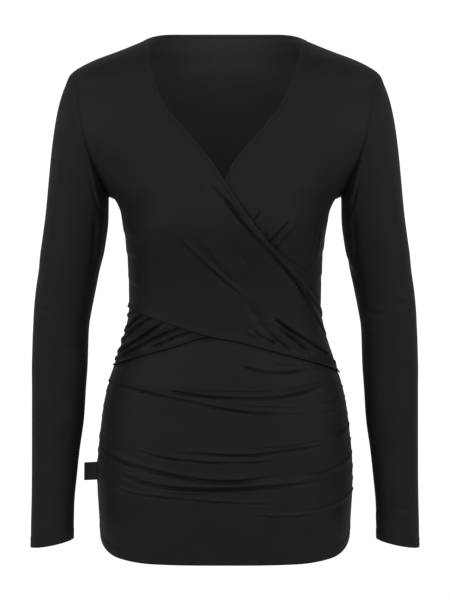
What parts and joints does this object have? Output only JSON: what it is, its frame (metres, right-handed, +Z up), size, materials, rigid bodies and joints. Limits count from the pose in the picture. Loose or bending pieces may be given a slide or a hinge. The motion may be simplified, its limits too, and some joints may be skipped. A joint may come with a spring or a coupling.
{
  "type": "long-sleeved wrap top",
  "caption": "Fitted black jersey top with long sleeves, a crossed wrap front over a V neck, and a hip-length lower front gathered at its side seams.",
  "frame": {"origin": "between the wearer's shoulders, level with the middle of the two shoulder seams, where the garment is carried", "axes": "+Z up, -Y out of the front, +X to the wearer's left, which is the viewer's right"},
  "size_m": [0.5046, 0.241, 0.6792],
  "materials": {
    "jersey": "fine black single jersey, soft low sheen",
    "binding": "folded strip of the same jersey, edge-stitched",
    "label": "plain black satin-woven tape"
  },
  "bodies": {
    "root": {"back": "jersey", "back_neck_binding": "binding", "lower_front": "jersey", "outer_wrap": "jersey", "outer_wrap_binding": "binding", "under_wrap": "jersey", "under_wrap_binding": "binding", "sleeve_left": "jersey", "sleeve_right": "jersey", "side_label": "label"}
  },
  "joints": []
}
